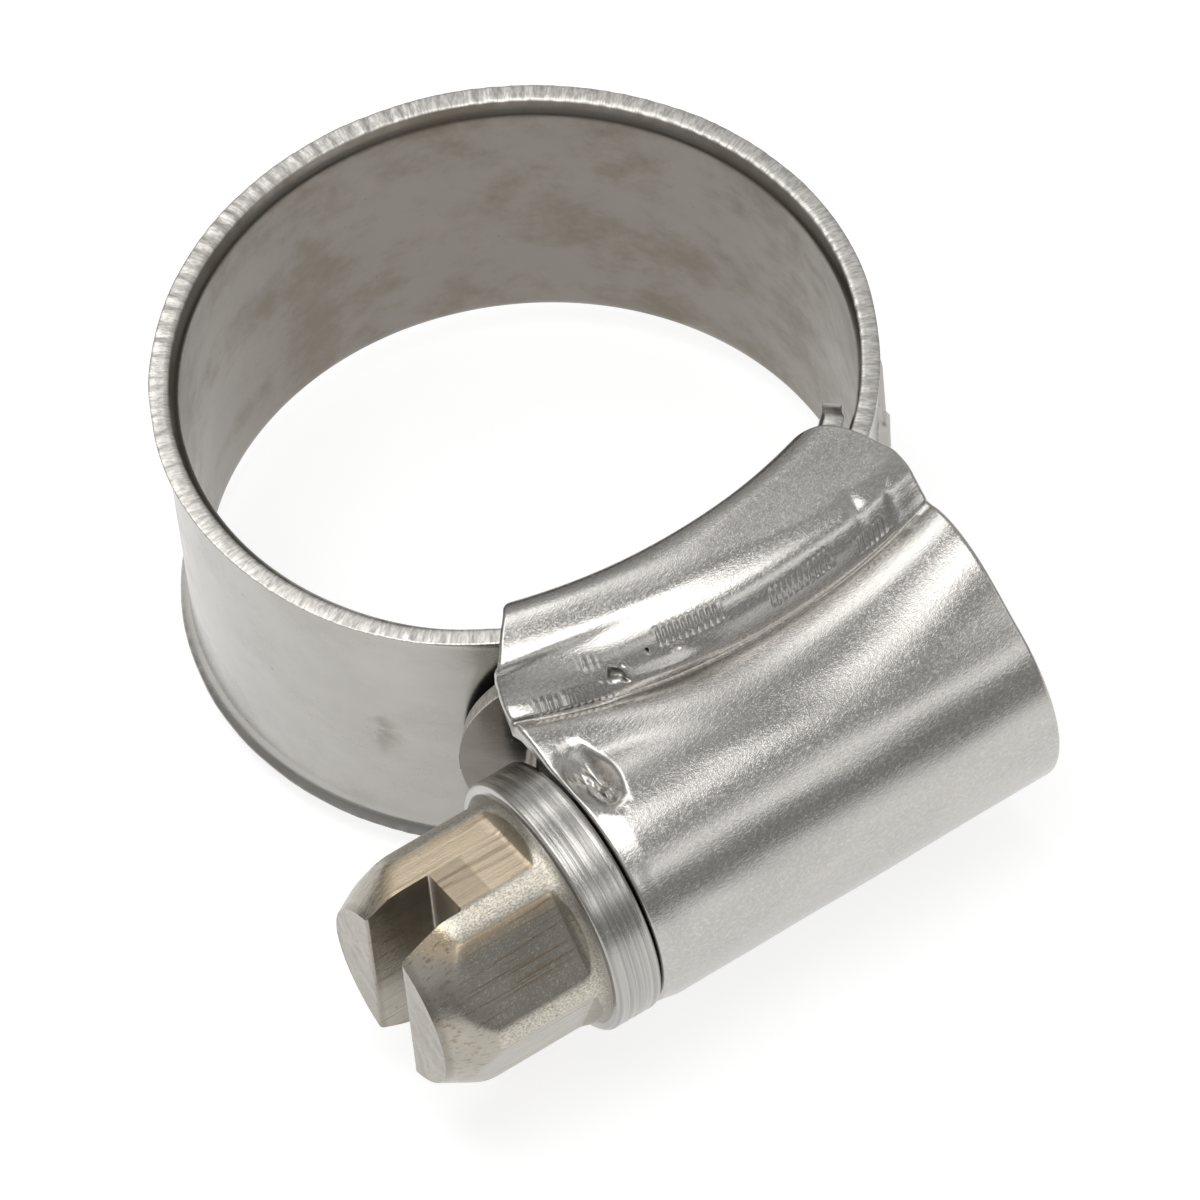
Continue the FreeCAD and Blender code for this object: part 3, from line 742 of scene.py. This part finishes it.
def build_housing(housing):
    """The pressed sheet: an outer face with its tool marks and dimple, an inner face one thickness inside it,
    and rounded edges between them."""
    u = np.linspace(-1, 1, 3 * housing.columns + 1)
    u = 0.88 * u + 0.12 * np.sin(u * math.pi / 2)
    top, crease = half_sheet(u, True)
    bottom, lower_crease = half_sheet(u, False)
    outer = np.concatenate([top, bottom[::-1][1:] * np.array([1, 1, -1])])
    rows, columns = outer.shape[:2]
    lower_crease = rows - 1 - lower_crease
    x = outer[..., 0]
    normal = np.cross(np.gradient(outer, axis=0), np.gradient(outer, axis=1))
    normal /= np.linalg.norm(normal, axis=-1, keepdims=True)
    if normal[len(top) - 1, columns // 2, 1] > 0:
        normal = -normal
    distance = np.cumsum(np.linalg.norm(np.diff(outer, axis=0, prepend=outer[:1]), axis=-1), axis=0)
    from_crease = distance - distance[crease]
    on_top = (np.arange(rows) < len(top))[:, None]

    marks, grime = tool_marks(x, from_crease, housing.mark_depth / MM)
    dimple_x = x - housing.dimple_x / MM
    angle = np.arctan2(outer[..., 2], outer[..., 1] - SCREW_Y)
    across = (angle - math.radians(84)) * BARREL_RADIUS
    spot = (dimple_x / 0.62)**2 + across**2 + 0.08 * grain(x, across, 8, 0.8)
    dimple = smooth(spot, 1.9, 0.0) * on_top * mix(0.45, 1.15, smooth(dimple_x, -0.7, 0.6))
    rough_floor = 0.09 * dimple * grain(x, across, 12, 0.30) * smooth(spot, 1.0, 0.5)
    waves = 0.005 * grain(x / 3, from_crease, 3, 1.8) * smooth(np.abs(x), 7.3, 6.8)
    drop = marks * on_top + housing.dimple_depth / MM * dimple + rough_floor + waves
    # painted shade round the dimple's walls, added to the marks' dirt and painted shade
    grime = grime * on_top + 0.35 * dimple * smooth(spot, 0.2, 0.9)

    # the shoulders and flanks are thinner, to clear the band's flared edges
    thin = 0.0
    for s, side in ((from_crease, on_top), (distance[lower_crease] - distance, ~on_top)):
        thin = thin + smooth(s, -4.2, -3.4) * smooth(s, -0.3, -0.9) * side
    sheet = housing.sheet / MM
    thickness = sheet - (sheet - housing.thin_sheet / MM) * thin * smooth(x, 6.9, 5.6)
    inner = outer - normal * (thickness + housing.dimple_depth / MM * dimple)[..., None]

    # rounded edges: a quarter circle's drop at each rim
    edge = np.minimum(x - x[:, :1], x[:, -1:] - x)
    edge = np.minimum(edge, np.minimum(distance, distance[-1] - distance))
    radius = 0.14
    rounding = radius * (1 - np.sqrt(1 - (1 - np.clip(edge / radius, 0, 1))**2))
    outer = outer - normal * (drop + rounding)[..., None]
    inner = inner + normal * (rounding * 0.8)[..., None]
    outer[..., 2] = np.clip(outer[..., 2], CAD_BOX[0][2] / MM + 0.01, CAD_BOX[1][2] / MM - 0.01)
    outer[..., 1] = np.maximum(outer[..., 1], CAD_BOX[0][1] / MM + 0.001)

    # the inner face has every second row and every third column, so its rim faces have more corners
    if rows % 2 == 0:
        raise RuntimeError("the housing needs an odd number of rows")
    inner = inner[::2, ::3]
    o = np.arange(rows * columns).reshape(rows, columns)
    n = o.size + np.arange(inner.size // 3).reshape(inner.shape[:2])
    faces = [grid_faces(o), grid_faces(n)[:, ::-1]]
    for end, sign in ((0, 1), (-1, -1)):
        a, b = o[:, end], n[:, end]
        faces.append(np.stack([a[:-2:2], b[:-1], b[1:], a[2::2], a[1:-1:2]], axis=-1)[:, ::-sign])
        a, b = o[end], n[end]
        faces.append(np.stack([a[:-3:3], a[1:-2:3], a[2:-1:3], a[3::3], b[1:], b[:-1]], axis=-1)[:, ::-sign])
    points = np.concatenate([outer.reshape(-1, 3), inner.reshape(-1, 3)])
    # the inner face gets an even painted shade
    grime = np.concatenate([grime.ravel(), np.full(n.size, 0.25)])
    finish = housing_finish(housing.colour)
    piece = make_piece("housing_sheet", points, faces, finish, [("grime", grime)], sharp=60)
    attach(piece, "root")
    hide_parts("housing")


# --- screw -----------------------------------------------------------------

CAP_COLUMNS = 25
COLLAR_SOFT = 0.14
NECK_RADIUS = 2.35
NECK_END = -5.9


def least(values, softness):
    """Smooth minimum: -k log of the sum of exp(-v / k)."""
    values = np.stack(np.broadcast_arrays(*values))
    low = values.min(0)
    return low - softness * np.log(np.exp(-(values - low) / softness).sum(0))


def head_radius(angle, x, screw):
    """Radius of the head: hexagon whose flats rise to run out at the collar, cut by the turned circle and by
    the end's cone."""
    apothem = screw.across_flats / MM / 2 + 0.42 * np.clip((x - COLLAR[0] + 0.55) / 0.5, 0, 1)
    wrapped = (angle - math.radians(screw.flat_angle) + math.pi / 6) % (math.pi / 3) - math.pi / 6
    hexagon = apothem / np.cos(wrapped)
    turned = np.full_like(hexagon, screw.turned_radius / MM)
    cone = screw.turned_radius / MM - screw.chamfer / MM - 0.14 + 0.55 * (x - HEAD_END)
    return least([least([hexagon, turned], 0.02), cone], 0.07)


def worm_radius(angle, x):
    """Radius of the worm: root, and a ridge where x is near pitch * (angle / turn + n), faded at its ends."""
    turn = angle % math.tau / math.tau
    lap = np.round(x / PITCH - turn)
    offset = np.abs(x - PITCH * (lap + turn))
    travel = lap + turn + 1
    height = WORM_HEIGHT * smooth(offset, 0.5, 0.30) * smooth(travel, 0.0, 0.12) * smooth(travel, 3.0, 2.88)
    return WORM_ROOT + height


def slot_profile(screw):
    """Across the slotted end: places y and depths x, from one side to the other."""
    half = screw.slot_width / MM / 2
    depth = screw.slot_depth / MM
    end_radius = screw.turned_radius / MM - screw.chamfer / MM - 0.14
    soft = 0.10
    limit = math.acos((half + soft) / end_radius)
    land = -end_radius * np.cos(np.linspace(0, limit, 24))
    bend = np.linspace(0, math.pi / 2, 5)[1:]
    lip = (-half - soft + soft * np.sin(bend), soft * (1 - np.cos(bend)))
    wall = np.linspace(soft, depth - soft, 12)[1:]
    foot = (-half + soft * (1 - np.cos(bend)), depth - soft + soft * np.sin(bend))
    y = np.concatenate([land, lip[0], np.full(len(wall), -half), foot[0]])
    x = np.concatenate([0 * land, lip[1], wall, foot[1]])
    floor = np.linspace(-half + soft, half - soft, 9)[1:-1]
    y = np.concatenate([y, floor, -y[::-1]])
    x = np.concatenate([x, np.full(len(floor), depth), x[::-1]])
    return y, HEAD_END + x


def screw_cap(screw):
    """The slotted end as a height over rows across the slot, each row running from rim to rim, and the rim
    once round it. Each row reaches as far as the head's radius allows there."""
    y, x = slot_profile(screw)
    reach = np.zeros(len(y))
    for _ in range(30):
        reach = np.sqrt(np.clip(head_radius(np.arctan2(reach, y), x, screw)**2 - y**2, 0, None))
    inner = slice(1, len(y) - 1)
    across = np.linspace(-1, 1, CAP_COLUMNS)
    z = reach[inner, None] * across
    cap = np.stack([x[inner, None] + 0 * z, y[inner, None] + 0 * z, z], axis=-1)
    wobble = np.abs(0.012 * grain(z, cap[..., 1], 9, 0.9))
    cap[..., 0] += wobble * (cap[..., 0] < HEAD_END + 0.01) * (1 - np.abs(across)**8)
    poles = np.array([[x[0], y[0], 0], [x[-1], y[-1], 0]])
    index = np.arange(z.size).reshape(z.shape)
    rim = np.concatenate([[z.size], index[:, -1], [z.size + 1], index[::-1, 0]])
    return cap, poles, index, rim


def collar_profile(screw):
    """x and radius along the collar and the neck, with round corners; the head gives the first radii."""
    top = screw.collar_radius / MM
    low = top - COLLAR_SOFT
    a, b = COLLAR
    turn = np.linspace(0, math.pi / 2, 6)
    ramp = COLLAR_SOFT * (1 - np.cos(turn))
    x = np.concatenate([np.full(5, a), a + ramp, np.linspace(a + COLLAR_SOFT, b - COLLAR_SOFT, 16)[1:-1],
                        b - ramp[::-1], np.full(6, b), steps((b, NECK_END, 10))[1:]])
    rise = COLLAR_SOFT * np.sin(turn)
    radius = np.concatenate([np.full(5, np.nan), low + rise, np.full(14, top), low + rise[::-1],
                             np.linspace(low, NECK_RADIUS, 7)[1:], np.full(10, NECK_RADIUS)])
    turning = 0.006 * grain(x, 0 * x, 17, 0.3)
    return x, radius + turning * (radius == top)


def build_screw(screw):
    """One turned piece. The slotted end's rim starts columns that run along the head, out round the collar,
    and along the neck and the worm to a pole."""
    cap, poles, cap_index, rim = screw_cap(screw)
    rim_points = np.concatenate([cap.reshape(-1, 3), poles])[rim]
    angle = np.arctan2(rim_points[:, 2], rim_points[:, 1])[None, :]

    share = steps((0, 0.18, 14), (0.18, 1, 26))[1:, None]
    head_x = mix(rim_points[:, 0], COLLAR[0], share)
    head_r = head_radius(angle, head_x, screw) + 0.12 * smooth(head_x, COLLAR[0] - 0.35, COLLAR[0])**2
    collar_x, collar_r = (values[:, None] + 0 * angle for values in collar_profile(screw))
    out = np.linspace(0, 1, 6)[1:, None]
    collar_r[:5] = mix(head_r[-1], screw.collar_radius / MM - COLLAR_SOFT, out)
    worm_x = steps((-5.8, WORM_END - 0.15, 190))[:, None]
    end_x = np.array([WORM_END - 0.12, WORM_END, WORM_END, WORM_END])[:, None]
    end_r = np.array([WORM_ROOT - 0.02, WORM_ROOT - 0.15, 1.6, 0.8])[:, None]
    x = np.concatenate([head_x, collar_x, worm_x + 0 * angle, end_x + 0 * angle])
    radius = np.concatenate([head_r, collar_r, worm_radius(angle, worm_x), end_r + 0 * angle])
    body = np.stack([x, radius * np.cos(angle), radius * np.sin(angle)], axis=-1)

    body_index = cap_index.size + 2 + np.arange(x.size).reshape(x.shape)
    first, last = (np.full(CAP_COLUMNS - 1, cap_index.size + i) for i in (0, 1))
    end = body_index[-1]
    fans = [np.stack([np.roll(end, -1), np.full(len(end), cap_index.size + 2 + x.size), end], axis=-1),
            np.stack([cap_index[0, 1:], cap_index[0, :-1], first], axis=-1),
            np.stack([cap_index[-1, :-1], cap_index[-1, 1:], last], axis=-1)]
    faces = [grid_faces(np.concatenate([rim[None, :], body_index]), wrap=True)[:, ::-1],
             grid_faces(cap_index)[:, ::-1], np.concatenate(fans)]
    points = np.concatenate([cap.reshape(-1, 3), poles, body.reshape(-1, 3), [[WORM_END, 0, 0]]])

    x, y, z = points.T
    in_slot = (np.abs(y) < screw.slot_width / MM / 2 + 0.02) & (x < COLLAR[0] - 2)
    # dirt and painted shade: darker deeper in the slot, on the neck and worm behind the collar, and where the
    # head meets the collar
    grime = 0.30 * np.clip((x - HEAD_END) / (screw.slot_depth / MM), 0, 1) * in_slot
    grime += 0.45 * smooth(x, COLLAR[1] - 0.15, COLLAR[1] + 0.1)
    grime += 0.5 * smooth(x, COLLAR[0] - 0.5, COLLAR[0] - 0.05) * (np.hypot(y, z) < 4.0)
    points = points + np.array([0, SCREW_Y, 0])
    piece = make_piece("worm_screw_turned", points, faces, screw_finish(screw.colour),
                       [("grime", np.clip(grime, 0, 0.8))], sharp=38)
    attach(piece, "screw")
    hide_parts("worm_screw")


# --- stage -----------------------------------------------------------------

LIGHTS = [
    # name, place (mm), size (mm), radiance
    ("key", (-19, -14, 110), (100, 62), 3.0),
    ("back", (-12, 68, 110), (92, 46), 2.1),
    ("front_strip", (60, -150, 125), (180, 34), 1.05),
]
# Grey level of the sky by the height of the direction, 0 level and 1 straight up.
SKY_FRONT = [(0.0, 0.50), (0.07, 0.32), (0.42, 0.33), (0.55, 0.62), (0.70, 0.70), (0.80, 0.44), (1.0, 0.45)]
SKY_BACK = [(0.0, 0.35), (0.18, 0.30), (0.40, 0.50), (0.62, 0.60), (0.80, 0.55), (0.93, 0.45), (1.0, 0.45)]


def floor_finish(colour):
    """Matt pale paper that also glows a little, so that shadows on it stay soft."""
    shader = Shader(bpy.data.materials.new("pale_floor"))
    coords = shader.spread(shader.place(), (0.15 * PER_MM,) * 3)
    cloud = shader.noise(coords, 2.0)
    tint = shader.blend(cloud, rgba(colour, 0.97), rgba(colour))
    matt = shader.blend(cloud, rgba(colour, 0.42), rgba(colour, 0.44))
    surface = shader.add("ShaderNodeBsdfPrincipled", {}, {
        "Base Color": matt, "Roughness": 0.9, "Emission Color": tint, "Emission Strength": 0.78})
    shader.add("ShaderNodeOutputMaterial", {}, {"Surface": surface})
    return shader.owner


def build_stage(stage):
    """Floor, studio lights, sky and camera."""
    size = 2000.0
    z = CAD_BOX[0][2] / MM - 0.05
    ring = np.array([[-size, -size, z], [size, -size, z], [size, size, z], [-size, size, z]])
    mesh = bpy.data.meshes.new("floor")
    mesh.from_pydata((ring * MM).tolist(), [], [(0, 1, 2, 3)])
    mesh.materials.append(floor_finish(stage.floor))
    floor = bpy.data.objects.new("floor", mesh)
    bpy.context.scene.collection.objects.link(floor)

    for name, where, extent, radiance in LIGHTS:
        data = bpy.data.lights.new(name, "AREA")
        data.shape = "RECTANGLE"
        data.size, data.size_y = (e * MM for e in extent)
        data.energy = math.pi * data.size * data.size_y * radiance * stage.light
        light = bpy.data.objects.new(name, data)
        light.location = Vector(where) * MM
        light.rotation_euler = (-Vector(where)).to_track_quat("-Z", "Y").to_euler()
        bpy.context.scene.collection.objects.link(light)

    world = bpy.data.worlds.new("studio")
    sky = Shader(world)
    _, y, z = sky.split(sky.add("ShaderNodeTexCoord", {}, {}, "Generated"))
    front, behind = (sky.add("ShaderNodeValToRGB", {"stops": stops}, {"Fac": z})
                     for stops in (SKY_FRONT, SKY_BACK))
    side = sky.add("ShaderNodeMapRange", {}, {"Value": y, "From Min": -0.25, "From Max": 0.25})
    level = sky.add("ShaderNodeBackground", {}, {"Color": sky.blend(side, front, behind)})
    sky.add("ShaderNodeOutputWorld", {}, {"Surface": level})
    bpy.context.scene.world = world
    bpy.context.scene.view_settings.view_transform = "Standard"

    azimuth, elevation, roll = (math.radians(a) for a in (stage.azimuth, stage.elevation, stage.roll))
    back_way = Vector((math.sin(azimuth) * math.cos(elevation), -math.cos(azimuth) * math.cos(elevation),
                       math.sin(elevation)))
    right = Vector((math.cos(azimuth), math.sin(azimuth), 0))
    up = back_way.cross(right)
    rolled_right = right * math.cos(roll) + up * math.sin(roll)
    rolled_up = up * math.cos(roll) - right * math.sin(roll)
    data = bpy.data.cameras.new("camera")
    data.lens = stage.lens
    data.clip_start = 0.01
    camera = bpy.data.objects.new("camera", data)
    where = back_way * stage.distance + rolled_right * stage.shift_right + rolled_up * stage.shift_up
    camera.matrix_world = Matrix((
        (rolled_right.x, rolled_up.x, back_way.x, where.x),
        (rolled_right.y, rolled_up.y, back_way.y, where.y),
        (rolled_right.z, rolled_up.z, back_way.z, where.z),
        (0, 0, 0, 1)))
    bpy.context.scene.collection.objects.link(camera)
    bpy.context.scene.camera = camera


# --- add-on ----------------------------------------------------------------

def length(label, text, default):
    return FloatProperty(name=label, description=text, default=default, subtype="DISTANCE", unit="LENGTH")


def number(label, text, default):
    return FloatProperty(name=label, description=text, default=default)


def colour_of(label, text, default):
    return FloatVectorProperty(name=label, description=text, default=default, subtype="COLOR", min=0, max=1)


class CLAMP_PG_band(bpy.types.PropertyGroup):
    strip: length("Thickness", "Thickness of the strip", 0.0006)
    half_width: length("Half width", "From mid width to the rim", 0.0052)
    flare: length("Flare", "How far each edge stands outwards", 0.00037)
    ridge: length("Ridge height", "Height of the thread ridges on the outer layer", 0.00037)
    row_step: length("Row step", "Distance between rows of the mesh along the band", 0.00012)
    colour: colour_of("Colour", "Colour of the strip's steel", (0.43, 0.415, 0.39))
    inner_colour: colour_of("Inner colour", "Colour of the duller inner face", (0.24, 0.22, 0.195))


class CLAMP_PG_housing(bpy.types.PropertyGroup):
    sheet: length("Sheet", "Thickness of the pressed sheet", 0.00055)
    mark_depth: length("Mark depth", "Depth of the tool marks above the crease", 0.00006)
    thin_sheet: length("Thin sheet", "Thickness of the sheet drawn over the shoulders", 0.00025)
    dimple_x: length("Dimple place", "Where the retaining dimple lies along the screw", -0.00665)
    dimple_depth: length("Dimple depth", "Depth of the retaining dimple", 0.00065)
    columns: IntProperty(name="Columns", description="Thirds of the columns along the housing", default=126)
    colour: colour_of("Colour", "Colour of the housing's steel", (0.49, 0.475, 0.45))


class CLAMP_PG_screw(bpy.types.PropertyGroup):
    across_flats: length("Across flats", "Size of the driving hexagon", 0.0070)
    turned_radius: length("Turned radius", "Radius that the hexagon's corners are turned to", 0.00386)
    chamfer: length("Chamfer", "Size of the chamfer on the head's end", 0.0007)
    slot_width: length("Slot width", "Width of the driving slot", 0.0019)
    slot_depth: length("Slot depth", "Depth of the driving slot", 0.0023)
    collar_radius: length("Collar radius", "Radius of the round collar", 0.0043)
    flat_angle: number("Flat angle", "Direction of one flat, in degrees from +Y to +Z", 80)
    colour: colour_of("Colour", "Colour of the screw's plating", (0.42, 0.395, 0.34))


class CLAMP_PG_stage(bpy.types.PropertyGroup):
    floor: colour_of("Floor", "Colour of the floor", (0.95, 0.95, 0.95))
    light: number("Light", "Strength of the studio lights", 1.0)
    azimuth: number("Azimuth", "Camera's direction round the object, in degrees", -29.56)
    elevation: number("Elevation", "Camera's height, in degrees", 52.91)
    roll: number("Roll", "Camera's roll, in degrees", -5.48)
    lens: number("Lens", "Focal length, in millimetres", 247.1)
    distance: length("Distance", "From the ring's centre to the camera", 0.2616)
    shift_right: length("Shift right", "How far the camera stands to its right", 0.002294)
    shift_up: length("Shift up", "How far the camera stands up", -0.004208)


class CLAMP_OT_band(bpy.types.Operator):
    """Build the band: the loop's stretches, the threaded tail and the fixed tongue"""
    bl_idname = "clamp.build_band"
    bl_label = "Build band"

    def execute(self, context):
        build_band(context.scene.clamp_band)
        return {"FINISHED"}


class CLAMP_OT_housing(bpy.types.Operator):
    """Build the pressed housing"""
    bl_idname = "clamp.build_housing"
    bl_label = "Build housing"

    def execute(self, context):
        build_housing(context.scene.clamp_housing)
        return {"FINISHED"}


class CLAMP_OT_screw(bpy.types.Operator):
    """Build the worm screw"""
    bl_idname = "clamp.build_screw"
    bl_label = "Build screw"

    def execute(self, context):
        build_screw(context.scene.clamp_screw)
        return {"FINISHED"}


class CLAMP_OT_stage(bpy.types.Operator):
    """Build the floor, the lights and the camera"""
    bl_idname = "clamp.build_stage"
    bl_label = "Build stage"

    def execute(self, context):
        build_stage(context.scene.clamp_stage)
        return {"FINISHED"}


class CLAMP_PT_panel(bpy.types.Panel):
    """Lists the clamp's pieces and their sizes"""
    bl_idname = "CLAMP_PT_panel"
    bl_label = "Hose clamp"
    bl_space_type = "VIEW_3D"
    bl_region_type = "UI"
    bl_category = "Clamp"

    def draw(self, context):
        for name in SETTINGS:
            box = self.layout.box()
            settings = getattr(context.scene, f"clamp_{name}")
            for key in settings.__annotations__:
                box.prop(settings, key)
            box.operator(f"clamp.build_{name}")


SETTINGS = {"stage": CLAMP_PG_stage, "band": CLAMP_PG_band, "housing": CLAMP_PG_housing,
            "screw": CLAMP_PG_screw}
OPERATORS = (CLAMP_OT_band, CLAMP_OT_housing, CLAMP_OT_screw, CLAMP_OT_stage)


def register():
    for item in (*SETTINGS.values(), *OPERATORS, CLAMP_PT_panel):
        bpy.utils.register_class(item)
    for name, group in SETTINGS.items():
        setattr(bpy.types.Scene, f"clamp_{name}", PointerProperty(type=group))


def unregister():
    for name in SETTINGS:
        delattr(bpy.types.Scene, f"clamp_{name}")
    for item in (CLAMP_PT_panel, *OPERATORS, *SETTINGS.values()):
        bpy.utils.unregister_class(item)


def main():
    register()
    bpy.ops.clamp.build_stage()
    bpy.ops.clamp.build_band()
    bpy.ops.clamp.build_housing()
    bpy.ops.clamp.build_screw()


if __name__ == "__main__":
    main()
